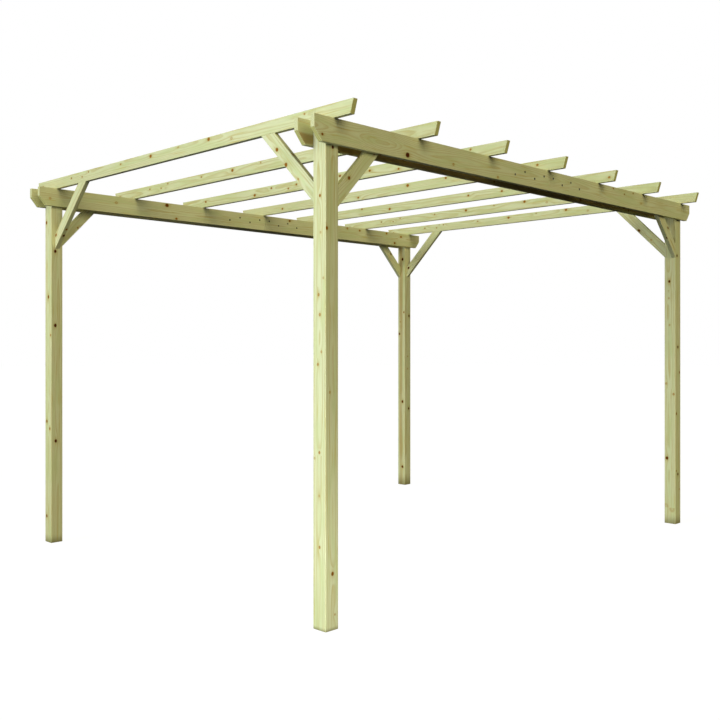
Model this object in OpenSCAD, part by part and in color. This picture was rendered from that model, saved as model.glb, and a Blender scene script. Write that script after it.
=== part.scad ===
// Timber pergola: four posts, two double beams spliced at the middle, a row of rafters
// and eight knee braces.
// Millimetres, +Z up. The origin is on the ground at the middle of the footprint,
// X runs along the beams, Y along the rafters, and the front is the -Y side.

/* [Footprint] */
// Width over the posts' outer faces, along the beams
frame_w = 4200; // [2400:10:6000]
// Depth over the posts' outer faces, along the rafters
frame_d = 3000; // [2000:10:4500]

/* [Posts] */
// Side of the square post
post_side = 94; // [70:1:140]
// Length of a post, which stands flush with the tops of the beams
post_h = 2660; // [2200:5:3200]

/* [Beams] */
// Height of a beam board
beam_h = 134; // [110:1:220]
// Thickness of a beam board
beam_t = 28; // [18:1:60]
// How far a beam runs past the outer face of its end posts
beam_overhang = 110; // [70:5:400]
// Upright part of a beam's end, above the clipped corner
beam_nose_h = 67; // [20:1:95]
// How far the clipped corner runs in along the underside
beam_clip = 56; // [10:1:150]
// Length of the block that joins the two halves of a beam, cut from post stock
splice_len = 1090; // [400:10:1200]

/* [Rafters] */
// Number of rafters, evenly spaced from post to post
rafter_count = 7; // [2:1:13]
// Height of a rafter
rafter_h = 76; // [50:1:150]
// Thickness of a rafter
rafter_t = 32; // [20:1:60]
// How far a rafter runs past the outer faces of the posts
rafter_overhang = 167; // [80:1:500]
// How far the underside stops short of the top at each end
rafter_undercut = 22; // [4:1:60]

/* [Braces] */
// Thickness of a knee brace
brace_t = 32; // [20:1:60]
// Depth of a knee brace, across its slope
brace_d = 77; // [40:1:110]
// Height from the heel of a brace to the underside of the rafters
brace_rise = 450; // [300:5:800]
// Slope of a brace, from level
brace_slope = 45; // [38:1:55]

/* [Finish] */
// Radius of the eased long edges of every timber
arris_r = 5; // [1:0.5:8]

/* [Hidden] */
$fn = 32;

// Planed softwood with a pale green preservative tint
timber_colour = "#cdcb9a";

// Centre lines of the posts
post_x = (frame_w - post_side) / 2;
post_y = (frame_d - post_side) / 2;

// The end rafters stand over the posts, the others share the space between
rafter_pitch = 2 * post_x / (rafter_count - 1);

// A beam board is two equal lengths that meet at the middle
board_len = frame_w / 2 + beam_overhang;
rafter_len = frame_d + 2 * rafter_overhang;

// How far a brace reaches along the timber that it carries
brace_reach = brace_rise / tan(brace_slope);

CORNERS = [["front_left", -1, -1], ["front_right", 1, -1], ["back_left", -1, 1], ["back_right", 1, 1]];
SIDES = [["front", -1], ["back", 1]];
HALVES = [["left", -1], ["right", 1]];

// Cross-section of a sawn timber, centred, with its four arrises eased
module section(across, up) {
    square([across - 2 * arris_r, up], center = true);
    square([across, up - 2 * arris_r], center = true);
    for (x = [-1, 1], y = [-1, 1])
        translate([x * (across / 2 - arris_r), y * (up / 2 - arris_r)])
            circle(r = arris_r);
}

// A length of timber lying along X, centred on the origin
module stick(len, across, up) {
    rotate([90, 0, 90])
        linear_extrude(len, center = true)
            section(across, up);
}

// Cuts a stick to a side outline drawn in X and Z
module trimmed(across) {
    intersection() {
        children(0);
        rotate([90, 0, 0])
            linear_extrude(across, center = true)
                children(1);
    }
}

// Half a beam board from the middle out along +X: square at the middle,
// its bottom corner clipped at the outer end, top at z = 0
module half_board() {
    trimmed(beam_t) {
        translate([board_len / 2, 0, -beam_h / 2])
            stick(board_len, beam_t, beam_h);
        polygon([
            [0, 0],
            [board_len, 0],
            [board_len, -beam_nose_h],
            [board_len - beam_clip, -beam_h],
            [0, -beam_h]
        ]);
    }
}

// One rafter along X, its ends sloping in to a shorter underside, underside at z = 0
module rafter_stick() {
    trimmed(rafter_t) {
        translate([0, 0, rafter_h / 2])
            stick(rafter_len, rafter_t, rafter_h);
        polygon([
            [-rafter_len / 2, rafter_h],
            [rafter_len / 2, rafter_h],
            [rafter_len / 2 - rafter_undercut, 0],
            [-rafter_len / 2 + rafter_undercut, 0]
        ]);
    }
}

// One knee brace rising along +X from the heel at the origin:
// a plumb cut against the post and a level cut under the rafters
module knee_brace() {
    plumb_cut = brace_d / cos(brace_slope);
    level_cut = brace_d / sin(brace_slope);
    blank_len = 2 * (brace_rise + brace_reach);
    trimmed(brace_t) {
        rotate([0, -brace_slope, 0])
            translate([0, 0, brace_d / 2])
                stick(blank_len, brace_t, brace_d);
        polygon([
            [0, 0],
            [brace_reach, brace_rise],
            [brace_reach - level_cut, brace_rise],
            [0, plumb_cut]
        ]);
    }
}

// A post, at the corner on side sx of X and side sy of Y
module post(sx, sy) {
    color(timber_colour)
        translate([sx * post_x, sy * post_y, 0])
            linear_extrude(post_h)
                section(post_side, post_side);
}

// The half board towards sx on the outer face of the posts on side sy
module outer_beam(sx, sy) {
    color(timber_colour)
        translate([0, sy * (frame_d + beam_t) / 2, post_h])
            mirror([sx < 0 ? 1 : 0, 0, 0])
                half_board();
}

// The half board towards sx on the inner face of the posts on side sy
module inner_beam(sx, sy) {
    color(timber_colour)
        translate([0, sy * (frame_d - 2 * post_side - beam_t) / 2, post_h])
            mirror([sx < 0 ? 1 : 0, 0, 0])
                half_board();
}

// The block between the boards of the beam on side sy, across the joint and flush with their tops
module splice_block(sy) {
    color(timber_colour)
        translate([0, sy * post_y, post_h - post_side / 2])
            stick(splice_len, post_side, post_side);
}

// Rafter number i, counted from the left, on top of the beams
module rafter(i) {
    color(timber_colour)
        translate([-post_x + (i - 1) * rafter_pitch, 0, post_h])
            rotate([0, 0, 90])
                rafter_stick();
}

// The brace that rises from a post between the two boards of its beam, against the outer board
module beam_brace(sx, sy) {
    color(timber_colour)
        translate([sx * (post_x - post_side / 2), sy * (frame_d - brace_t) / 2, post_h - brace_rise])
            mirror([sx > 0 ? 1 : 0, 0, 0])
                knee_brace();
}

// The brace that rises from a post to the end rafter above it
module rafter_brace(sx, sy) {
    color(timber_colour)
        translate([sx * post_x, sy * (post_y - post_side / 2), post_h - brace_rise])
            rotate([0, 0, -90 * sy])
                knee_brace();
}

for (corner = CORNERS) {
    post(corner[1], corner[2]);
    beam_brace(corner[1], corner[2]);
    rafter_brace(corner[1], corner[2]);
}
for (side = SIDES) {
    for (half = HALVES) {
        outer_beam(half[1], side[1]);
        inner_beam(half[1], side[1]);
    }
    splice_block(side[1]);
}
for (i = [1 : rafter_count]) {
    rafter(i);
}
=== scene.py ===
"""Timber pergola over its CAD frame: planed, pressure-treated pine with its grain, knots and screws.

Run as a script. Lengths are metres in the frame of the CAD model: X along the beams,
Y along the rafters to the back, Z up, the origin on the ground at the middle of the footprint.
"""

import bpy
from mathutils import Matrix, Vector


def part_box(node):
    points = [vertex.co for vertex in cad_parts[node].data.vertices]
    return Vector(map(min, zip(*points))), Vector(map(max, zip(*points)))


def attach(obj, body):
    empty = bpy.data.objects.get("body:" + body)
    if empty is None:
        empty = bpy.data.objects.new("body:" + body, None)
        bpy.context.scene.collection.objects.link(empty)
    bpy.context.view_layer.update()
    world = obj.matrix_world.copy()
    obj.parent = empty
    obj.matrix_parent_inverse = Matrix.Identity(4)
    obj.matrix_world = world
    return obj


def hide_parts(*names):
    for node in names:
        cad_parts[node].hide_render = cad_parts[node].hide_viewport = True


bl_info = {
    "name": "Timber Pergola",
    "version": (1, 0, 0),
    "blender": (4, 5, 0),
    "location": "View3D > Sidebar > Pergola",
    "description": "Builds the timbers of a pergola with their grain, knots and screws, and a studio stage",
    "category": "Add Mesh",
}

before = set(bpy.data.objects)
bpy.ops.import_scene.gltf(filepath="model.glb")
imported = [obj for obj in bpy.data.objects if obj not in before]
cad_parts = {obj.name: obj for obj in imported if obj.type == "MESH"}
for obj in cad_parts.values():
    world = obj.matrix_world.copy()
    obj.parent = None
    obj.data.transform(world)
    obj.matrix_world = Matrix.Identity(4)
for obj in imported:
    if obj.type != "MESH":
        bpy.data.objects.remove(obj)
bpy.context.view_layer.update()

import math
import zlib

import bpy
import numpy as np
from bpy.props import FloatProperty, FloatVectorProperty, IntProperty, PointerProperty
from mathutils import Vector

MM = 0.001
SIDES = ("front", "back")
HALVES = ("left", "right")
CORNERS = ("front_left", "front_right", "back_left", "back_right")
RAFTERS = tuple(sorted(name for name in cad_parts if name.startswith("rafter_")))

# Names of the materials
PINE = "planed pressure-treated pine"
END_GRAIN = "sawn end grain of pine"
STEEL = "phosphated steel"
FLOOR_PAINT = "painted studio floor"

# The four long faces of a timber, as section() numbers them and as they lie when seen from its far end.
# On a post LOW is the front.
LOW, RIGHT, HIGH, LEFT = range(4)

# Knots that show, by piece and face: (along, across, radius) in mm, and a tone that is 1 for a dark one.
# Along starts at the foot of a post or brace, and at the left or front end of a beam or rafter.
# Across starts at the HIGH edge on LEFT and RIGHT, and at the LEFT edge on LOW and HIGH.
KNOTS = {
    "front_left_post": {
        LEFT: [(433, 48, 6, .68), (700, 46, 5, .4), (893, 12, 5, .4), (926, 47, 6, .7), (1384, 36, 6, .68),
               (1450, 62, 5, .5), (1643, 51, 6, .62), (1747, 41, 6, .65), (1833, 76, 5, .4),
               (2071, 56, 5, .4), (2262, 51, 6, .8)],
        LOW: [(80, 68, 4, .6), (295, 50, 8, .9), (1240, 30, 5, .5), (2090, 8, 7, .8), (2514, 52, 7, 1)]},
    "back_left_post": {
        LEFT: [(195, 26, 9, .9), (857, 72, 8, .8), (910, 26, 9, .85), (1560, 83, 6, .7), (1848, 52, 9, .9),
               (2410, 20, 9, .88)],
        LOW: [(764, 37, 9, 1), (1633, 33, 9, 1), (2191, 33, 9, 1)]},
    "front_right_post": {
        LEFT: [(124, 64, 20, .22), (140, 12, 18, .22), (543, 21, 10, .97), (1078, 77, 7, .6),
               (1165, 16, 7, .5), (1653, 43, 6, .4), (1876, 37, 6, .4), (2016, 41, 9, .98)],
        LOW: [(284, 74, 6, .4), (412, 44, 8, 1), (441, 17, 5, .7), (916, 16, 7, .9), (1257, 74, 7, .9),
              (1469, 44, 8, 1), (2228, 27, 8, 1)]},
    "back_right_post": {
        LEFT: [(191, 60, 11, .97), (884, 61, 11, .97), (1606, 19, 9, .96), (1734, 31, 5, .7),
               (1836, 80, 7, .8), (2400, 61, 11, 1)],
        LOW: [(810, 63, 9, 1), (1235, 47, 6, .4), (1366, 47, 6, .4), (1798, 68, 9, 1)]},
    "front_outer_beam": {
        LEFT: [(58, 99, 6, .9), (733, 108, 12, 1), (1156, 102, 7, .5), (1614, 120, 7, .5), (3103, 12, 5, .8),
               (3275, 36, 5, .9), (3414, 14, 5, .9), (3544, 77, 6, .4)]},
    "back_inner_beam": {
        LEFT: [(86, 79, 8, .4), (656, 51, 9, .4), (1140, 20, 12, .95), (1235, 122, 8, .8), (2522, 18, 9, .9),
               (3003, 37, 9, .75), (3300, 18, 9, .6), (3481, 24, 8, .8), (3889, 18, 9, .75),
               (4017, 109, 10, .9), (4119, 34, 10, .7)]},
    "rafter_3": {
        RIGHT: [(272, 16, 6, .7), (864, 53, 6, .8), (1128, 30, 7, .8), (1417, 27, 7, .9), (1878, 29, 7, .8),
                (1968, 48, 6, .8), (2164, 21, 6, .8), (2364, 53, 9, .8), (3003, 32, 7, .8)]},
    "rafter_4": {
        RIGHT: [(217, 28, 7, .7), (989, 12, 7, .8), (1354, 22, 9, .8), (1872, 54, 7, .8), (2786, 43, 7, .8)]},
    "rafter_5": {
        RIGHT: [(54, 46, 7, .7), (961, 33, 7, .8), (1283, 29, 7, .8), (2128, 46, 9, .8), (2461, 12, 7, .8)]},
    "front_left_rafter_brace": {RIGHT: [(222, 62, 5, .6), (355, 65, 9, .85), (474, 52, 9, .85)]},
    "front_left_beam_brace": {LEFT: [(170, 21, 8, .9), (420, 52, 5, .4)]},
    "back_left_rafter_brace": {LEFT: [(83, 15, 9, .85)], LOW: [(130, 22, 7, 1), (190, 22, 6, .8)]},
    "front_right_beam_brace": {RIGHT: [(265, 11, 8, .95)]},
    "front_right_rafter_brace": {RIGHT: [(210, 50, 6, .5), (350, 62, 9, .95)]},
    "back_right_rafter_brace": {LEFT: [(85, 26, 9, 1)]},
    "back_right_beam_brace": {RIGHT: [(276, 17, 8, 1)]},
}
SHARED_RAFTER = {
    RIGHT: [(358, 17, 5, .6), (975, 44, 8, .35), (1192, 14, 9, .8), (1503, 13, 5, .55), (1806, 23, 9, .8),
            (2164, 22, 5, .7), (2586, 15, 5, .7), (2675, 39, 5, .7), (2828, 28, 5, .8), (3260, 40, 7, .8)]}
KNOTS.update({"rafter_%d" % number: SHARED_RAFTER for number in (1, 2, 6, 7)})
# No listed knot comes nearer to an end than this
KNOT_CLEAR = 0.01
# An offset, in knot radii, that is clear of any knot
KNOT_FREE = (40.0, 40.0, 0.0)

# Knots on the other faces are scattered over these ranges: along as a share of the run between knots,
# across as a share of the face, radius in metres, and tone. A face that is NARROW_FACE wide has half as many
# as a broad one.
SCATTER = {"along": (0.15, 0.85), "across": (-0.36, 0.36), "radius": (0.004, 0.009), "tone": (0.4, 1.0)}
NARROW_FACE = 0.03

# Where the pith of the log runs in the pieces whose figure shows most, and in some where its heartwood is set
# on a shaded face as painted shade: (along, a, b) in mm from the middle of the section, with a to RIGHT and b
# to HIGH. Where it draws away from a face, the rings close to a tip.
PITH = {
    "front_left_post": [(0, 8, 6), (1300, 2, 0), (2660, 10, 8)],
    "front_right_post": [(0, 10, 8), (2660, 6, 12)],
    "back_left_post": [(0, 6, -6), (2660, 10, 2)],
    # The pith runs close to the left face, so heartwood darkens it as painted shade for the lesser light on
    # this far post
    "back_right_post": [(0, -26, 8), (2660, -30, 4)],
    "front_outer_beam_left": [
        (0, 24, 7), (180, 40, 9), (330, 37, 6), (420, 24, 0), (510, 18, -2), (600, 23, -4), (690, 36, -8),
        (760, 40, -14), (1000, 33, -12), (1300, 27, -3), (1700, 36, 5), (2210, 44, 7)],
    "front_outer_beam_right": [
        (0, 24, 10), (330, 46, 12), (600, 50, 6), (1200, 40, -10), (1700, 46, 0), (2210, 38, 5)],
    # The pith runs close to the front face, so heartwood browns the lower face seen in the gap between the
    # boards: painted shade there
    "front_inner_beam_left": [(0, -10, -34), (400, -10, -42), (2210, -8, -46)],
    "front_inner_beam_right": [(0, -8, -44), (2210, -10, -26)],
    # The pith runs near enough to the front face to brown it with heartwood, as painted shade on the back
    # beam
    "back_inner_beam_left": [(0, 16, 12), (900, 22, -4), (2210, 18, -12)],
    "back_inner_beam_right": [(0, 20, -10), (1100, 25, 6), (2210, 17, 10)],
    "front_left_rafter_brace": [(0, -52, -20), (600, -60, -8)],
    "front_left_beam_brace": [(0, 44, -30), (600, 52, -22)],
}

# The pith of the other pieces, in metres: how far off the middle of a square timber it runs, how far behind
# a face of a board, how much it leans in a metre, and the height and run of its bow
PITH_OFF = 0.025
PITH_BEHIND = (0.046, 0.075)
PITH_LEAN = 0.008
PITH_BOW = (0.004, 0.010)
PITH_RUN = (1.2, 2.4)
# How far off the middle of a board's height the pith runs, as a share of that height
PITH_LEVEL = 0.3
# Each timber is cut from a place of its own along this length of log, so that no two have one figure
LOG_RUN = 40

# Profile of a screw head, from the recess over the rim and the dome to the edge, as shares of its radius
# and of its rise
HEAD = ((0.05, 0.35), (0.34, 0.35), (0.42, 1.0), (0.6, 0.97), (0.85, 0.7), (0.97, 0.3), (1.0, -0.2))
# Points round a head, and the angle in degrees from which its edges stay sharp
HEAD_STEPS = 24
HEAD_CREASE = 40

# Soft distant lights: azimuth and elevation of the side they come from, and their spread, in degrees
DISTANT = {"left": (170, 17, 30), "front": (250, 23, 40), "far": (25, 9, 26)}
# How far off they hang in metres, which changes nothing: they shine from a direction alone
DISTANT_AT = 10
# Oval panels: place, aim, width and height in metres, and the angle of their beam in degrees
PANELS = {"side": ((-4.3, -1.4, 1.75), (-2.05, -1.2, 1.75), 1.2, 3.5, 110),
          "rear": ((-5.5, 1.9, 1.9), (-2.05, 1.2, 1.9), 1.5, 1.5, 92),
          "foot": ((-2.6, -2.25, 0.25), (-2.08, -1.48, 0.25), 0.4, 0.4, 180)}

# Width of the camera's frame in mm, and how far it sees in metres
FRAME_WIDTH = 36
SIGHT = 200
# The floor's rings, as shares of its radius, and the points in each
FLOOR_RINGS = (0.02, 0.1, 0.3, 1.0)
FLOOR_STEPS = 96


# Settings

def linear(code):
    """sRGB hex colour to linear RGB."""
    srgb = np.array([int(code[i:i + 2], 16) for i in (1, 3, 5)]) / 255
    return tuple(np.where(srgb <= 0.04045, srgb / 12.92, ((srgb + 0.055) / 1.055) ** 2.4).tolist())


def colour(label, description, code):
    """A colour property with its default in hex."""
    return FloatVectorProperty(name=label, description=description, subtype="COLOR", size=3, min=0, max=1,
                               default=linear(code))


def metres(label, description, default):
    """A length property with its default in metres."""
    return FloatProperty(name=label, description=description, default=default, unit="LENGTH")


def watts(label, description, default):
    """A power property with its default in watts."""
    return FloatProperty(name=label, description=description, default=default, unit="POWER")


class TimberSettings(bpy.types.PropertyGroup):
    """Sizes of the timbers that their boxes do not give."""
    arris: metres("Arris", "Radius of the long edges of a post", 0.005)
    board_arris: metres("Board arris", "Radius of the long edges of a board or brace", 0.002)
    end_arris: metres("End arris", "Easing of the saw cuts", 0.0012)
    beam_nose: metres("Beam nose", "Upright part of a beam's end", 0.067)
    beam_clip: metres("Beam clip", "How far the clipped corner runs in", 0.056)
    rafter_undercut: metres("Rafter undercut", "Slope of a rafter's end cut", 0.022)
    brace_depth: metres("Brace depth", "Depth of a brace across its slope", 0.077)
    # Most rings of pine are 2 to 4 mm apart: these are drawn coarser so that they show
    ring: metres("Growth ring", "Spacing of the growth rings", 0.007)
    step: metres("Step", "Run between the rings of points along a timber", 0.08)
    knot_run: metres("Knot run", "Mean run between knots on a face", 0.42)


class ScrewSettings(bpy.types.PropertyGroup):
    """The screws that hold each beam joint."""
    head: metres("Head", "Diameter of a screw head", 0.0155)
    rise: metres("Rise", "How far a head stands above the wood", 0.0012)
    pitch: metres("Pitch", "Run from one screw to the next", 0.115)
    upper: metres("Upper row", "Depth of the upper row below the top", 0.0455)
    lower: metres("Lower row", "Depth of the lower row below the top", 0.0765)
    each_side: IntProperty(name="Each side", description="Screws on each side of the joint", default=4)


class ColourSettings(bpy.types.PropertyGroup):
    """Colours of the wood and the screws."""
    early: colour("Early wood", "Pale wood between the rings, with the tint of the treatment", "#E0DEB1")
    late: colour("Late wood", "Darker wood of the rings", "#C0A95A")
    green: colour("Green", "Where the treatment has taken most", "#D2D69C")
    ochre: colour("Ochre", "Resin streaks", "#CDB868")
    # Heartwood, and painted shade too: its brown is set on faces that lie in shade, by where the piths run
    heartwood_and_shade: colour("Heartwood", "Wood near the pith, which takes no treatment", "#B07F38")
    halo: colour("Knot halo", "Wood around a knot", "#BFA34C")
    amber: colour("Pale knot", "Heart of a pale knot", "#B07628")
    knot: colour("Dark knot", "Heart of a dark knot", "#58260B")
    # Painted shade: a darker colour at the foot of each post, where it meets the floor
    painted_foot_shade: colour("Painted foot shade", "Stain at the foot of a post", "#6E6232")
    end_early: colour("End grain, pale", "Pale wood on a square end", "#E0DFB4")
    end_late: colour("End grain, dark", "Rings on a square end", "#CDC584")
    # Painted shade: the sloping cuts face down and are coloured darker and browner than the square ends
    cut_early: colour("Shaded cut, pale", "Pale wood on a sloping cut", "#DAD78E")
    cut_late: colour("Shaded cut, dark", "Rings on a sloping cut", "#BFAE5C")
    steel: colour("Screw", "Phosphated steel of the screws", "#171714")


class StageSettings(bpy.types.PropertyGroup):
    """Camera, light and floor."""
    eye: FloatVectorProperty(name="Camera", description="Place of the camera", subtype="TRANSLATION",
                             unit="LENGTH", default=(-5.4011, -4.7908, 1.4834))
    heading: FloatProperty(name="Heading", description="Turn of the camera about the vertical",
                           subtype="ANGLE", default=-0.7578)
    lens: FloatProperty(name="Lens", description="Focal length on a 36 mm frame", unit="CAMERA",
                        default=45.123)
    shift: FloatVectorProperty(name="Shift", description="Shift of the frame", size=2,
                               default=(0.08415, -0.02036))
    floor_radius: metres("Floor", "Radius of the floor", 60.0)
    backdrop: colour("Backdrop", "Floor and background as the camera sees them", "#FFFFFF")
    bounce: colour("Bounce", "Floor as the timbers see it", "#2C2618")
    sky: colour("Sky", "Light from all round", "#BCD2FF")
    sky_level: FloatProperty(name="Sky level", description="Strength of the light from all round",
                             default=0.06)
    left: colour("Left light", "Colour of the soft key light from the left", "#F0FBF3")
    left_level: FloatProperty(name="Left level", description="Strength of the key light", default=1.92)
    front: colour("Front light", "Colour of the warm fill from the front", "#FFFAD1")
    front_level: FloatProperty(name="Front level", description="Strength of the front fill", default=1.53)
    far: colour("Far light", "Colour of the fill from the back right", "#FFF2D4")
    far_level: FloatProperty(name="Far level", description="Strength of the back fill", default=2.4)
    side: colour("Side panel", "Colour of the panel by the front of the left side", "#DCEAFF")
    side_level: watts("Side power", "Power of the side panel", 13.5)
    rear: colour("Rear panel", "Colour of the panel by the back of the left side", "#E2EEFF")
    rear_level: watts("Rear power", "Power of the rear panel", 8.6)
    foot: colour("Foot lamp", "Colour of the small lamp by the near foot", "#E4F3FF")
    foot_level: watts("Foot power", "Power of the foot lamp", 4.5)


class PergolaSettings(bpy.types.PropertyGroup):
    """Everything that a user would change."""
    timber: PointerProperty(type=TimberSettings)
    screw: PointerProperty(type=ScrewSettings)
    colours: PointerProperty(type=ColourSettings)
    stage: PointerProperty(type=StageSettings)


# Meshes

def add_object(name, data):
    """Links a new object to the scene, at the origin."""
    made = bpy.data.objects.new(name, data)
    bpy.context.scene.collection.objects.link(made)
    return made


def ring_quads(around, rings, turned=False):
    """Quads of a tube as point numbers: each ring joins the next. With turned they face the other way."""
    i, j = np.meshgrid(np.arange(around), np.arange(rings - 1))
    here, there = j * around, (j + 1) * around
    nxt = (i + 1) % around
    quads = np.stack([here + i, here + nxt, there + nxt, there + i], -1).reshape(-1, 4)
    return quads[:, [0, 3, 2, 1]] if turned else quads


def is_square(width, height):
    """Whether a timber is as wide as it is high, as a post is."""
    return math.isclose(width, height, rel_tol=0.01)


def section(width, height, radius, kinks=()):
    """Outline of a timber's end: points, outward normals and the face that each step belongs to.

    Each corner is a quarter circle of the arris radius. The points run up the +a side and down the -a side,
    so point i and point n - 1 - i stand at one height. kinks are extra heights on both sides, where an end
    cut bends.
    """
    steps = 4
    turn = np.linspace(-np.pi / 2, 0, steps + 1)
    foot = np.stack([np.cos(turn), np.sin(turn)], 1)
    head = foot[::-1] * (1, -1)
    flank = np.array([[width / 2, b] for b in kinks]).reshape(-1, 2)
    points = np.concatenate([
        foot * radius + (width / 2 - radius, radius - height / 2), flank,
        head * radius + (width / 2 - radius, height / 2 - radius)])
    normals = np.concatenate([foot, np.tile((1.0, 0.0), (len(flank), 1)), head])
    points = np.concatenate([points, points[::-1] * (-1, 1)])
    normals = np.concatenate([normals, normals[::-1] * (-1, 1)])
    half = len(points) // 2
    up = np.full(half - 1, RIGHT)
    up[:steps // 2] = LOW
    up[-(steps // 2):] = HIGH
    down = np.where(up == RIGHT, LEFT, up)[::-1]
    return points, normals, np.concatenate([up, [HIGH], down, [LOW]])


def knots_of(name, length, width, height, offset, run):
    """Knots on each face as rows (s, w, radius, tone), sorted along the piece.

    They are those listed for the face, or else a seeded scatter.
    """
    rng = np.random.default_rng(zlib.crc32(name.encode()))
    listed = KNOTS.get(name) or KNOTS.get(name.rsplit("_", 1)[0]) or {}
    faces = []
    for face in range(4):
        tall = height if face in (LEFT, RIGHT) else width
        if face in listed:
            rows = np.array(listed[face], float) * (MM, MM, MM, 1)
            rows[:, 0] -= offset
            rows[:, 1] = (tall / 2 - rows[:, 1]) if face in (LEFT, RIGHT) else (rows[:, 1] - tall / 2)
            rows = rows[(rows[:, 0] > KNOT_CLEAR) & (rows[:, 0] < length - KNOT_CLEAR)]
        else:
            count = max(1, int(round(length / run * tall / (tall + NARROW_FACE))))
            along, across, radius, tone = (rng.uniform(*limits, count) for limits in SCATTER.values())
            rows = np.stack([(np.arange(count) + along) * length / count, across * tall, radius, tone], 1)
        faces.append(rows[np.argsort(rows[:, 0])])
    return faces


def stretch_ends(rows):
    """Where the stretches of a face end, each with one knot: half-way from each knot to the next."""
    return (rows[1:, 0] + rows[:-1, 0]) / 2


def knot_offsets(knots, face, wall, s, a, b):
    """Offset of a wall quad's corners from the knot of its stretch, in knot radii, and that knot's tone."""
    s, a, b = (grid.ravel()[wall] for grid in (s, a, b))
    side = np.tile(face, len(wall) // len(face))
    offsets = np.empty((len(wall), 4, 3))
    for number, rows in enumerate(knots):
        mine = np.flatnonzero(side == number)
        nearest = np.searchsorted(stretch_ends(rows), s[mine].mean(1))
        place, w, radius, tone = rows[nearest].T[:, :, None]
        around = (b if number in (LEFT, RIGHT) else a)[mine]
        offsets[mine] = np.stack([(s[mine] - place) / radius, (around - w) / radius,
                                  np.broadcast_to(tone, around.shape)], -1)
    return offsets


def pith_of(name, s, width, height):
    """Where the log's own axis starts and where its pith runs, as (s, a, b) at each s.

    The path is the one listed, or else a seeded one: a straight line plus a sine, inside a square timber and
    well behind one face of a board.
    """
    rng = np.random.default_rng(zlib.crc32(("log of " + name).encode()))
    start = np.full(s.shape, -LOG_RUN * rng.random())
    if name in PITH:
        place, a, b = np.array(PITH[name], float).T * MM
        return np.stack([start, np.interp(s, place, a), np.interp(s, place, b)], -1)
    inside = rng.uniform(-PITH_OFF, PITH_OFF, 2)
    side = rng.choice((-1, 1))
    clear = rng.uniform(*PITH_BEHIND)
    level = rng.uniform(-PITH_LEVEL, PITH_LEVEL)
    behind = np.array([side * (clear + width / 2), level * height])
    pith = inside if is_square(width, height) else behind
    lean = rng.uniform(-PITH_LEAN, PITH_LEAN, 2)
    bow = rng.uniform(*PITH_BOW, 2)
    turn = rng.uniform(0, 2 * np.pi, 2)
    run = rng.uniform(*PITH_RUN)
    path = pith + lean * s[..., None] + bow * np.sin(2 * np.pi * s[..., None] / run + turn)
    return np.concatenate([start[..., None], path], -1)


def timber(name, origin, along, up, width, height, low, high, settings, kinks=(), offset=0.0):
    """One length of timber as a closed surface of two parameters.

    The first parameter runs round the section, the second along the piece, and a point is
    origin + s * along + a * across + b * up. The end rings follow the end cuts, each given as (b, s) pairs
    with straight lines between. The rings between them stand at even steps, and where one knot's stretch of a
    face gives way to the next. The caps are strips between points at one height. The attribute log holds a
    point's place in the log that the timber was sawn from, and knot holds its offset from the knot of its
    stretch, in knot radii. offset is how far along the listed knots the piece starts.
    """
    along, up = np.asarray(along, float), np.asarray(up, float)
    across = np.cross(up, along)
    arris = settings.arris if is_square(width, height) else settings.board_arris
    ab, out, face = section(width, height, arris, kinks)
    easing = settings.end_arris
    inset = ab - easing * out
    low, high = np.asarray(low, float).T, np.asarray(high, float).T
    start, stop = np.interp(ab[:, 1], *low), np.interp(ab[:, 1], *high)
    length = stop.max() - start.min()
    knots = knots_of(name, length, width, height, offset, settings.knot_run)
    steps = np.arange(start.min(), stop.max(), settings.step)
    cuts = np.unique(np.concatenate([*map(stretch_ends, knots), steps]).round(3))
    # The rings keep clear of the eased ends
    clear = 3 * easing
    cuts = cuts[(cuts > start.max() + clear) & (cuts < stop.min() - clear)]
    n, m = len(ab), len(cuts) + 4

    s = np.array([np.interp(inset[:, 1], *low), start + easing, *np.repeat(cuts[:, None], n, 1),
                  stop - easing, np.interp(inset[:, 1], *high)])
    a, b = np.tile(ab[:, 0], (m, 1)), np.tile(ab[:, 1], (m, 1))
    a[[0, -1]], b[[0, -1]] = inset[:, 0], inset[:, 1]
    points = np.asarray(origin, float) + s[..., None] * along + a[..., None] * across + b[..., None] * up
    points = points.reshape(-1, 3)

    wall = ring_quads(n, m)
    k = np.arange(n // 2 - 1)
    cap = np.stack([k, k + 1, n - 2 - k, n - 1 - k], 1)
    quads = np.concatenate([wall, cap[:, ::-1], cap + (m - 1) * n])

    # Faces are flat, apart from the walls between the eased ends, which are rounded at the arrises
    corners = points[quads]
    facing = np.cross(corners[:, 2] - corners[:, 0], corners[:, 3] - corners[:, 1])
    facing /= np.linalg.norm(facing, axis=1, keepdims=True)
    normals = np.repeat(facing[:, None], 4, 1)
    row = np.repeat(np.arange(m - 1), n)
    rounded = np.flatnonzero((row > 0) & (row < m - 2))
    normals[rounded] = (out[:, :1] * across + out[:, 1:] * up)[quads[rounded] % n]

    sawn = np.stack([s, a, b], -1) - pith_of(name, s, width, height)
    offsets = np.concatenate([knot_offsets(knots, face, wall, s, a, b),
                              np.full((2 * len(cap), 4, 3), KNOT_FREE)])

    mesh = bpy.data.meshes.new(name + "_pine")
    mesh.from_pydata(points.tolist(), [], quads.tolist())
    mesh.attributes.new("log", "FLOAT_VECTOR", "POINT").data.foreach_set("vector", sawn.ravel())
    mesh.attributes.new("knot", "FLOAT_VECTOR", "CORNER").data.foreach_set("vector", offsets.ravel())
    mesh.polygons.foreach_set("material_index", np.repeat([0, 1], [len(wall), 2 * len(cap)]))
    mesh.shade_smooth()
    mesh.normals_split_custom_set(normals.reshape(-1, 3).tolist())
    mesh.materials.append(bpy.data.materials[PINE])
    mesh.materials.append(bpy.data.materials[END_GRAIN])
    piece = add_object(name + "_pine", mesh)
    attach(piece, "root")
    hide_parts(name)


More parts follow.
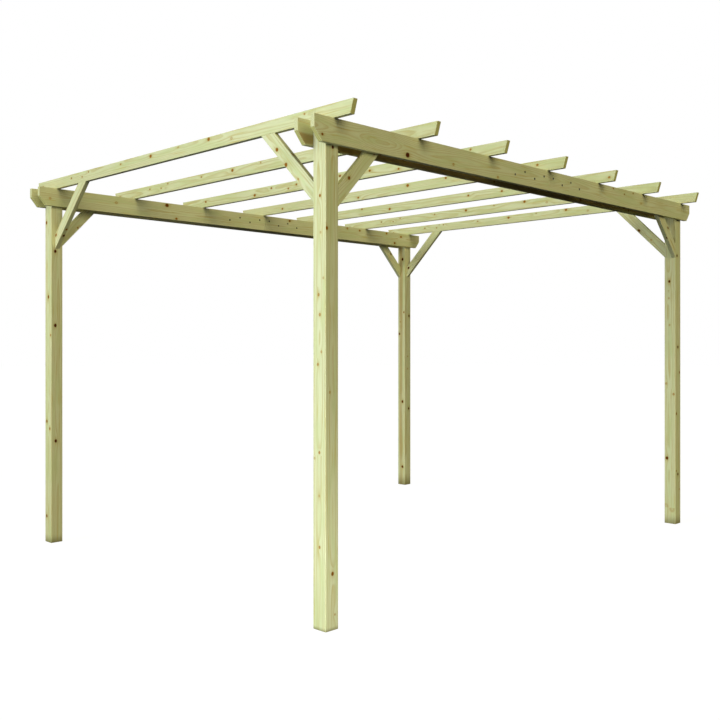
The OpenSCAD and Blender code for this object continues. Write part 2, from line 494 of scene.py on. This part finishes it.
def square_cut(s):
    """A cut straight across at s."""
    return [(-1.0, s), (1.0, s)]


def low_end(lo, hi, axis):
    """Middle of a box's low end along an axis."""
    middle = (lo + hi) / 2
    middle[axis] = lo[axis]
    return middle


# Materials

def node(tree, kind, inputs=(), out=0, **settings):
    """Adds a node, sets its settings, feeds its sockets from values or other sockets, and returns one output.

    A Mix of colours has its factor at 0, its colours at 6 and 7 and its result at 2. A MapRange has its value
    at 0, its range at 1 and 2 and what that becomes at 3 and 4.
    """
    made = tree.nodes.new("ShaderNode" + kind)
    for key, value in settings.items():
        setattr(made, key, value)
    for key, value in dict(inputs).items():
        if isinstance(value, bpy.types.NodeSocket):
            tree.links.new(value, made.inputs[key])
        else:
            made.inputs[key].default_value = value
    return made.outputs[out] if len(made.outputs) else made


def cleared(owner):
    """The node tree of a new material or world, emptied."""
    owner.use_nodes = True
    owner.node_tree.nodes.clear()
    return owner.node_tree


def tints(settings, *keys):
    """Colours of the settings by name, with an alpha of 1."""
    return {key: (*getattr(settings.colours, key), 1) for key in keys}


def eye_rays(tree):
    """1 for rays from the camera, also by way of gloss or glass, and 0 for the others."""
    seen = node(tree, "LightPath", out="Is Camera Ray")
    for ray in ("Is Glossy Ray", "Is Transmission Ray"):
        seen = node(tree, "Math", {0: seen, 1: node(tree, "LightPath", out=ray)}, operation="MAXIMUM")
    return seen


def ring_radius(tree, log, repeats, stray, roughness):
    """Radius of the growth ring at a point: its distance from the pith, plus noise of up to stray metres."""
    spread = node(tree, "VectorMath", {0: log, 1: repeats}, operation="MULTIPLY")
    wander = node(tree, "TexNoise", {"Vector": spread, "Scale": 1, "Detail": 2, "Roughness": roughness})
    across = node(tree, "VectorMath", {0: log, 1: (0, 1, 1)}, operation="MULTIPLY")
    radius = node(tree, "VectorMath", {0: across}, out="Value", operation="LENGTH")
    return node(tree, "Math", {0: wander, 1: stray, 2: radius}, operation="MULTIPLY_ADD")


def season(tree, radius, settings):
    """How far through its year of growth the wood at a radius is, from 0 to 1."""
    years = node(tree, "Math", {0: radius, 1: settings.timber.ring}, operation="DIVIDE")
    return node(tree, "Math", {0: years}, operation="FRACT")


def knot_distance(tree, knot, stretch):
    """Distance from a knot in knot radii, stretched so that it is the same all along an oval."""
    spread = node(tree, "VectorMath", {0: knot, 1: stretch}, operation="MULTIPLY")
    return node(tree, "VectorMath", {0: spread}, out="Value", operation="LENGTH")


def knot_sway(tree, knot, tone, stretch):
    """How far a knot sways the wood around it: its tone times exp(-d * d), with d its oval distance."""
    distance = knot_distance(tree, knot, stretch)
    square = node(tree, "Math", {0: distance, 1: distance}, operation="MULTIPLY")
    minus = node(tree, "Math", {0: square, 1: -1.0}, operation="MULTIPLY")
    bell = node(tree, "Math", {0: minus}, operation="EXPONENT")
    return node(tree, "Math", {0: bell, 1: tone}, operation="MULTIPLY")


def with_knots(tree, wood, knot, tone, streak, tint):
    """Wood with its knots.

    A pale knot has grown in and shows as a ring, and a dark one is brown right through.
    """
    halo = knot_sway(tree, knot, tone, (0.34, 0.6, 0))
    halo = node(tree, "Math", {0: halo, 1: 0.6}, operation="MULTIPLY")
    wood = node(tree, "Mix", {0: halo, 6: wood, 7: tint["halo"]}, out=2, data_type="RGBA")
    away = knot_distance(tree, knot, (0.85, 1, 0))
    ragged = node(tree, "Math", {0: streak, 1: 0.7, 2: away}, operation="MULTIPLY_ADD")
    heart = node(tree, "MapRange", {0: ragged, 1: 1.2, 2: 1.85, 3: 1.0, 4: 0.0},
                 interpolation_type="SMOOTHSTEP")
    depth = node(tree, "MapRange", {0: tone, 1: 0.2, 2: 0.8, 3: 0.3, 4: 1.0})
    heart = node(tree, "Math", {0: heart, 1: depth}, operation="MULTIPLY")
    middle = node(tree, "MapRange", {0: tone, 1: 0.5, 2: 0.75, 3: 0.3})
    rim = node(tree, "MapRange", {0: ragged, 1: 0.5, 2: 1.0, 3: middle, 4: 1.0},
               interpolation_type="SMOOTHSTEP")
    heart = node(tree, "Math", {0: heart, 1: rim}, operation="MULTIPLY")
    dark = node(tree, "Math", {0: tone, 1: 6.0}, operation="POWER")
    core = node(tree, "Mix", {0: dark, 6: tint["amber"], 7: tint["knot"]}, out=2, data_type="RGBA")
    return node(tree, "Mix", {0: heart, 6: wood, 7: core}, out=2, data_type="RGBA")


def with_painted_foot_shade(tree, wood, streak, tint):
    """Wood with painted shade at its foot, darker towards the bottom where a post meets the floor, from 16 mm
    up at the front left to 90 mm up at the back right.
    """
    place = node(tree, "TexCoord", out="Object")
    reach = node(tree, "VectorMath", {0: place, 1: (0.0105, 0.0105, 0)}, out="Value", operation="DOT_PRODUCT")
    reach = node(tree, "Math", {0: reach, 1: 0.053}, operation="ADD")
    above = node(tree, "SeparateXYZ", {0: place}, out=2)
    level = node(tree, "Math", {0: above, 1: reach}, operation="DIVIDE")
    ragged = node(tree, "Math", {0: streak, 1: 0.5, 2: level}, operation="MULTIPLY_ADD")
    # How strongly the painted foot shade shows, fading upwards from the floor
    painted_foot_shade = node(tree, "MapRange", {0: ragged, 1: -0.35, 2: 1.75, 3: 0.88, 4: 0.0},
                interpolation_type="SMOOTHSTEP")
    return node(tree, "Mix", {0: painted_foot_shade, 6: wood, 7: tint["painted_foot_shade"]}, out=2, data_type="RGBA")


def planed_pine(settings):
    """Planed, pressure-treated pine: pale green-cream wood with tan rings, ochre streaks and brown knots.

    Planing leaves it silky and fairly matt, and the rings show as fine lines or broad arches
    where the cut runs along them.
    """
    tint = tints(settings, "early", "late", "green", "ochre", "heartwood_and_shade", "halo", "amber", "knot", "painted_foot_shade")
    tree = cleared(bpy.data.materials.new(PINE))
    log = node(tree, "Attribute", out="Vector", attribute_name="log")
    knot = node(tree, "Attribute", out="Vector", attribute_name="knot")
    tone = node(tree, "SeparateXYZ", {0: knot}, out=2)

    # Growth rings about the pith, which wander by up to 14 mm over half a metre and swell by 6 mm at a knot
    radius = ring_radius(tree, log, (2, 14, 14), 0.014, 0.45)
    swell = knot_sway(tree, knot, tone, (0.13, 0.34, 0))
    radius = node(tree, "Math", {0: swell, 1: 0.006, 2: radius}, operation="MULTIPLY_ADD")
    year = season(tree, radius, settings)
    rise = node(tree, "MapRange", {0: year, 1: 0.3, 2: 0.86}, interpolation_type="SMOOTHSTEP")
    fall = node(tree, "MapRange", {0: year, 1: 0.88, 2: 1.0, 3: 1.0, 4: 0.0}, interpolation_type="SMOOTHSTEP")
    ring = node(tree, "Math", {0: rise, 1: fall}, operation="MULTIPLY")

    # Noise with so many repeats in a metre, along the grain and across it: fibres about 3 mm wide, drawn
    # coarser than real ones so that they show, streaks 15 mm wide, and tint that changes over 0.3 m
    spreads = (node(tree, "VectorMath", {0: log, 1: repeats}, operation="MULTIPLY")
               for repeats in ((9, 320, 320), (4, 66, 66), (3.2, 22, 22)))
    fibre, streak, patch = (
        node(tree, "TexNoise", {"Vector": spread, "Scale": 1, "Detail": 2, "Roughness": 0.55})
        for spread in spreads)

    taken = node(tree, "MapRange", {0: patch, 1: 0.42, 2: 0.68, 4: 0.7}, interpolation_type="SMOOTHSTEP")
    wood = node(tree, "Mix", {0: taken, 6: tint["early"], 7: tint["green"]}, out=2, data_type="RGBA")
    resin = node(tree, "MapRange", {0: streak, 1: 0.55, 2: 0.75, 4: 0.5}, interpolation_type="SMOOTHSTEP")
    wood = node(tree, "Mix", {0: resin, 6: wood, 7: tint["ochre"]}, out=2, data_type="RGBA")
    # Heartwood, which takes no treatment, reaches some 30 mm from the pith. Where a pith is set close to a
    # face in shade, its brown stands in as painted shade there.
    inner = node(tree, "MapRange", {0: radius, 1: 0.024, 2: 0.042, 3: 0.62, 4: 0.0},
                 interpolation_type="SMOOTHSTEP")
    wood = node(tree, "Mix", {0: inner, 6: wood, 7: tint["heartwood_and_shade"]}, out=2, data_type="RGBA")
    strength = node(tree, "MapRange", {0: patch, 1: 0.35, 2: 0.62, 3: 0.52, 4: 0.22})
    shown = node(tree, "Math", {0: ring, 1: strength}, operation="MULTIPLY")
    wood = node(tree, "Mix", {0: shown, 6: wood, 7: tint["late"]}, out=2, data_type="RGBA")
    shade = node(tree, "MapRange", {0: fibre, 1: 0.25, 2: 0.75, 3: 0.94, 4: 1.05})
    wood = node(tree, "VectorMath", {0: wood, 1: shade}, operation="MULTIPLY")
    wood = with_knots(tree, wood, knot, tone, streak, tint)
    # Painted shade at the foot of the posts, darker towards the floor
    wood = with_painted_foot_shade(tree, wood, streak, tint)

    rough = node(tree, "MapRange", {0: ring, 3: 0.66, 4: 0.56})
    height = node(tree, "Math", {0: ring, 1: 0.6, 2: fibre}, operation="MULTIPLY_ADD")
    bump = node(tree, "Bump", {"Strength": 0.25, "Distance": 0.0004, "Height": height})
    shader = node(tree, "BsdfPrincipled", {"Base Color": wood, "Roughness": rough, "Specular IOR Level": 0.0,
                                           "Normal": bump})
    node(tree, "OutputMaterial", {"Surface": shader})


def sawn_end(settings):
    """Sawn end grain: the rings show as arcs between open pores.

    Square ends are pale green, and the sloping cuts, which face down, are painted a darker yellow-brown that
    stands in for their shade.
    """
    tint = tints(settings, "end_early", "end_late", "cut_early", "cut_late")
    tree = cleared(bpy.data.materials.new(END_GRAIN))
    log = node(tree, "Attribute", out="Vector", attribute_name="log")
    # Rings that wander by up to 10 mm over 25 mm
    radius = ring_radius(tree, log, (1, 40, 40), 0.01, 0.5)
    year = season(tree, radius, settings)
    ring = node(tree, "MapRange", {0: year, 1: 0.3, 2: 0.95}, interpolation_type="SMOOTHSTEP")
    # Pores and saw marks about 1.5 mm across, drawn coarser than real ones so that they show
    pores = node(tree, "TexNoise", {"Vector": log, "Scale": 700, "Detail": 2})
    # A sloping cut is one that faces down, and there the darker colour is painted shade
    lean = node(tree, "SeparateXYZ", {0: node(tree, "NewGeometry", out="Normal")}, out=2)
    down_cut_shade = node(tree, "MapRange", {0: lean, 1: -0.05, 2: -0.2})
    square, sloping = (node(tree, "Mix", {0: ring, 6: tint[cut + "_early"], 7: tint[cut + "_late"]}, out=2,
                            data_type="RGBA") for cut in ("end", "cut"))
    wood = node(tree, "Mix", {0: down_cut_shade, 6: square, 7: sloping}, out=2, data_type="RGBA")
    shade = node(tree, "MapRange", {0: pores, 1: 0.3, 2: 0.7, 3: 0.85, 4: 1.08})
    wood = node(tree, "VectorMath", {0: wood, 1: shade}, operation="MULTIPLY")
    bump = node(tree, "Bump", {"Strength": 0.4, "Distance": 0.0005, "Height": pores})
    shader = node(tree, "BsdfPrincipled", {"Base Color": wood, "Roughness": 0.8, "Specular IOR Level": 0.0,
                                           "Normal": bump})
    node(tree, "OutputMaterial", {"Surface": shader})


def phosphated_steel(settings):
    """Phosphated steel: the grey-black, speckled coat of a wood screw, dull with a faint metal gleam."""
    tree = cleared(bpy.data.materials.new(STEEL))
    place = node(tree, "TexCoord", out="Object")
    # Crystals of the coat, up to 2.2 times as light and drawn at 1 mm so that they show
    grit = node(tree, "TexNoise", {"Vector": place, "Scale": 1000, "Detail": 2})
    steel = np.array(settings.colours.steel)
    coat = node(tree, "Mix", {0: grit, 6: (*steel, 1), 7: (*(2.2 * steel), 1)}, out=2, data_type="RGBA")
    rough = node(tree, "MapRange", {0: grit, 3: 0.42, 4: 0.6})
    shader = node(tree, "BsdfPrincipled", {"Base Color": coat, "Metallic": 0.85, "Roughness": rough})
    node(tree, "OutputMaterial", {"Surface": shader})


def studio_floor(settings):
    """Painted studio floor: to the camera a plain backdrop that keeps the shadow, and dim to the timbers."""
    tree = cleared(bpy.data.materials.new(FLOOR_PAINT))
    paint = (*settings.stage.backdrop, 1)
    # Most of the white is the floor's own, and the share that the lamps light holds the shadow
    own, lit = 0.945, 0.14
    glow = node(tree, "Emission", {"Color": paint, "Strength": own})
    matt = node(tree, "BsdfDiffuse", {"Color": paint})
    none = node(tree, "BsdfTransparent", {"Color": (0, 0, 0, 1)})
    pale = node(tree, "AddShader", {0: glow, 1: node(tree, "MixShader", {0: lit, 1: none, 2: matt})})
    dim = node(tree, "BsdfDiffuse", {"Color": (*settings.stage.bounce, 1)})
    node(tree, "OutputMaterial", {"Surface": node(tree, "MixShader", {0: eye_rays(tree), 1: dim, 2: pale})})


# Operators

class PERGOLA_OT_materials(bpy.types.Operator):
    """Make the pine, end grain and steel materials"""
    bl_idname = "pergola.materials"
    bl_label = "Materials"

    def execute(self, context):
        settings = context.scene.pergola
        planed_pine(settings)
        sawn_end(settings)
        phosphated_steel(settings)
        return {"FINISHED"}


class PERGOLA_OT_posts(bpy.types.Operator):
    """Build the four posts, square at both ends"""
    bl_idname = "pergola.posts"
    bl_label = "Posts"

    def execute(self, context):
        settings = context.scene.pergola.timber
        for corner in CORNERS:
            name = corner + "_post"
            lo, hi = map(np.array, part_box(name))
            width, height, length = hi - lo
            timber(name, low_end(lo, hi, 2), (0, 0, 1), (0, 1, 0), width, height,
                   square_cut(0), square_cut(length), settings)
        return {"FINISHED"}


class PERGOLA_OT_beams(bpy.types.Operator):
    """Build the beams: boards in two lengths with clipped outer ends, and the block that joins them"""
    bl_idname = "pergola.beams"
    bl_label = "Beams"

    def half_board(self, name, half, settings):
        """Half a board, whose outer end is upright at the nose and slopes in below it.

        The listed knots run on from the left half to the right one.
        """
        lo, hi = map(np.array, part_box(name))
        length, width, height = hi - lo
        bend = height / 2 - settings.beam_nose
        clip = np.array([(-height / 2, settings.beam_clip), (bend, 0), (height / 2, 0)])
        if half == "left":
            low, high, offset = clip, square_cut(length), 0
        else:
            low, high, offset = square_cut(0), clip * (1, -1) + (0, length), length
        timber(name, low_end(lo, hi, 0), (1, 0, 0), (0, 0, 1), width, height, low, high, settings,
               (bend,), offset)

    def splice_block(self, name, settings):
        """The block between the boards, square at both ends."""
        lo, hi = map(np.array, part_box(name))
        length, width, height = hi - lo
        timber(name, low_end(lo, hi, 0), (1, 0, 0), (0, 0, 1), width, height,
               square_cut(0), square_cut(length), settings)

    def execute(self, context):
        settings = context.scene.pergola.timber
        for side in SIDES:
            for board in ("_outer_beam_", "_inner_beam_"):
                for half in HALVES:
                    self.half_board(side + board + half, half, settings)
            self.splice_block(side + "_splice_block", settings)
        return {"FINISHED"}


class PERGOLA_OT_rafters(bpy.types.Operator):
    """Build the rafters, their ends sloping in to a shorter underside"""
    bl_idname = "pergola.rafters"
    bl_label = "Rafters"

    def execute(self, context):
        settings = context.scene.pergola.timber
        for name in RAFTERS:
            lo, hi = map(np.array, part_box(name))
            width, length, height = hi - lo
            slope = np.array([(-height / 2, settings.rafter_undercut), (height / 2, 0)])
            timber(name, low_end(lo, hi, 1), (0, 1, 0), (0, 0, 1), width, height,
                   slope, slope * (1, -1) + (0, length), settings)
        return {"FINISHED"}


class PERGOLA_OT_braces(bpy.types.Operator):
    """Build the knee braces, with a plumb cut on the post and a level cut under the rafters"""
    bl_idname = "pergola.braces"
    bl_label = "Knee braces"

    def brace(self, name, run, away, settings):
        """A brace in the plane of axis run and Z, rising from its heel in the direction away.

        Its underside is the diagonal of its box. The plumb cut lies in the box's side by the post, and the
        level cut in its top.
        """
        lo, hi = map(np.array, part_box(name))
        heel = low_end(lo, hi, 2)
        heel[run] = (lo if away > 0 else hi)[run]
        reach, rise, depth = hi[run] - lo[run], hi[2] - lo[2], settings.brace_depth
        pitch = math.hypot(reach, rise)
        level = np.zeros(3)
        level[run] = away
        along = (level * reach + (0, 0, rise)) / pitch
        up = (np.array((0, 0, reach)) - level * rise) / pitch
        edges = np.array([-depth / 2, depth / 2])
        plumb = np.stack([edges, (edges + depth / 2) * rise / reach], 1)
        flat = np.stack([edges, (rise * pitch - (edges + depth / 2) * reach) / rise], 1)
        timber(name, heel + up * depth / 2, along, up, (hi - lo)[1 - run], depth, plumb, flat, settings)

    def execute(self, context):
        settings = context.scene.pergola.timber
        for corner in CORNERS:
            side, half = corner.split("_")
            self.brace(corner + "_beam_brace", 0, 1 if half == "left" else -1, settings)
            self.brace(corner + "_rafter_brace", 1, 1 if side == "front" else -1, settings)
        return {"FINISHED"}


class PERGOLA_OT_screws(bpy.types.Operator):
    """Build the screws in two staggered rows across each beam joint, on both faces of the beam"""
    bl_idname = "pergola.screws"
    bl_label = "Screws"

    def heads(self, board, outward, screw):
        """Points of the heads on a face of a board: the profile turned about the axis of each screw."""
        radius, height = np.hsplit(np.array(HEAD) * (screw.head / 2, screw.rise), 2)
        turn = np.linspace(0, 2 * np.pi, HEAD_STEPS, endpoint=False)
        # The screws count out from the joint both ways, and take the upper and the lower row in turn
        number = np.arange(screw.each_side)
        offset = np.concatenate([-(number[::-1] + 0.5), number + 0.5]) * screw.pitch
        order = np.concatenate([number[::-1], number])
        depth = np.where(order % 2 == 0, screw.upper, screw.lower)
        lo, hi = map(np.array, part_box(board))
        face = lo[1] if outward < 0 else hi[1]
        x = lo[0] + offset[:, None, None] - outward * radius * np.cos(turn)
        y = np.broadcast_to(face + outward * height, x.shape)
        z = hi[2] - depth[:, None, None] + radius * np.sin(turn)
        return np.stack([x, y, z], -1)

    def execute(self, context):
        screw = context.scene.pergola.screw
        rows = len(HEAD)
        for side in SIDES:
            outward = -1 if side == "front" else 1
            points = np.concatenate([self.heads(side + "_outer_beam_right", outward, screw),
                                     self.heads(side + "_inner_beam_right", -outward, screw)])
            # Each head is closed by a floor in its recess and a back inside the wood
            first = np.arange(len(points))[:, None] * rows * HEAD_STEPS
            quads = (first[..., None] + ring_quads(HEAD_STEPS, rows, turned=True)).reshape(-1, 4)
            floors = first + np.arange(HEAD_STEPS)
            backs = first + (rows - 1) * HEAD_STEPS + np.arange(HEAD_STEPS)[::-1]
            faces = quads.tolist() + floors.tolist() + backs.tolist()
            mesh = bpy.data.meshes.new(side + "_beam_screws")
            mesh.from_pydata(points.reshape(-1, 3).tolist(), [], faces)
            mesh.shade_smooth()
            mesh.set_sharp_from_angle(angle=math.radians(HEAD_CREASE))
            mesh.materials.append(bpy.data.materials[STEEL])
            piece = add_object(side + "_beam_screws", mesh)
            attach(piece, "root")
        return {"FINISHED"}


class PERGOLA_OT_stage(bpy.types.Operator):
    """Set the camera, the floor and the lights"""
    bl_idname = "pergola.stage"
    bl_label = "Stage"

    def set_camera(self, scene, stage):
        """A level camera, shifted to the frame."""
        camera = bpy.data.cameras.new("camera")
        camera.sensor_width, camera.lens = FRAME_WIDTH, stage.lens
        camera.shift_x, camera.shift_y = stage.shift
        camera.clip_end = SIGHT
        eye = add_object("camera", camera)
        eye.location, eye.rotation_euler = stage.eye, (math.pi / 2, 0, stage.heading)
        scene.camera = eye

    def lay_floor(self, settings):
        """A disc: radius times turn, in rings, with one face inside the smallest ring."""
        turn = np.linspace(0, 2 * np.pi, FLOOR_STEPS, endpoint=False)
        reach = np.array(FLOOR_RINGS)[:, None] * settings.stage.floor_radius
        x, y = reach * np.cos(turn), reach * np.sin(turn)
        points = np.stack([x, y, np.zeros_like(x)], -1).reshape(-1, 3)
        quads = ring_quads(FLOOR_STEPS, len(FLOOR_RINGS), turned=True)
        mesh = bpy.data.meshes.new("floor")
        mesh.from_pydata(points.tolist(), [], quads.tolist() + [list(range(FLOOR_STEPS))])
        studio_floor(settings)
        mesh.materials.append(bpy.data.materials[FLOOR_PAINT])
        floor = add_object("floor", mesh)

    def set_world(self, scene, stage):
        """A dim sky that lights the timbers, and the backdrop that the camera sees."""
        world = bpy.data.worlds.new("studio")
        tree = cleared(world)
        around = node(tree, "Background", {"Color": (*stage.sky, 1), "Strength": stage.sky_level})
        behind = node(tree, "Background", {"Color": (*stage.backdrop, 1), "Strength": 1.0})
        shown = node(tree, "MixShader", {0: eye_rays(tree), 1: around, 2: behind})
        node(tree, "OutputWorld", {"Surface": shown})
        scene.world = world

    def hang(self, lamp, place, back, stage):
        """Hangs a lamp at a place with its back to a direction, out of the camera's sight."""
        lamp.energy, lamp.color = getattr(stage, lamp.name + "_level"), getattr(stage, lamp.name)
        hung = add_object(lamp.name, lamp)
        hung.location, hung.rotation_euler = place, back.to_track_quat("Z", "Y").to_euler()
        hung.visible_camera = False

    def hang_lamps(self, stage):
        """The distant lights and the panels."""
        for name, (azimuth, elevation, spread) in DISTANT.items():
            lamp = bpy.data.lights.new(name, "SUN")
            lamp.angle = math.radians(spread)
            turn, rise = math.radians(azimuth), math.radians(elevation)
            back = Vector((math.cos(turn) * math.cos(rise), math.sin(turn) * math.cos(rise), math.sin(rise)))
            self.hang(lamp, back * DISTANT_AT, back, stage)
        for name, (place, aim, width, height, beam) in PANELS.items():
            lamp = bpy.data.lights.new(name, "AREA")
            lamp.shape, lamp.spread = "ELLIPSE", math.radians(beam)
            lamp.size, lamp.size_y = width, height
            self.hang(lamp, place, Vector(place) - Vector(aim), stage)

    def execute(self, context):
        scene, settings = context.scene, context.scene.pergola
        self.set_camera(scene, settings.stage)
        self.lay_floor(settings)
        self.set_world(scene, settings.stage)
        self.hang_lamps(settings.stage)
        scene.view_settings.view_transform = "Standard"
        return {"FINISHED"}


class PERGOLA_PT_panel(bpy.types.Panel):
    """Lists the steps in the sidebar"""
    bl_idname = "PERGOLA_PT_panel"
    bl_label = "Pergola"
    bl_space_type = "VIEW_3D"
    bl_region_type = "UI"
    bl_category = "Pergola"

    def draw(self, context):
        for step in STEPS:
            self.layout.operator(step.bl_idname)


STEPS = (PERGOLA_OT_materials, PERGOLA_OT_posts, PERGOLA_OT_beams, PERGOLA_OT_rafters, PERGOLA_OT_braces,
         PERGOLA_OT_screws, PERGOLA_OT_stage)
CLASSES = (TimberSettings, ScrewSettings, ColourSettings, StageSettings, PergolaSettings, *STEPS,
           PERGOLA_PT_panel)


def register():
    for made in CLASSES:
        bpy.utils.register_class(made)
    bpy.types.Scene.pergola = PointerProperty(type=PergolaSettings)


def unregister():
    del bpy.types.Scene.pergola
    for made in reversed(CLASSES):
        bpy.utils.unregister_class(made)


def main():
    register()
    for step in STEPS:
        family, action = step.bl_idname.split(".")
        getattr(getattr(bpy.ops, family), action)()


if __name__ == "__main__":
    main()
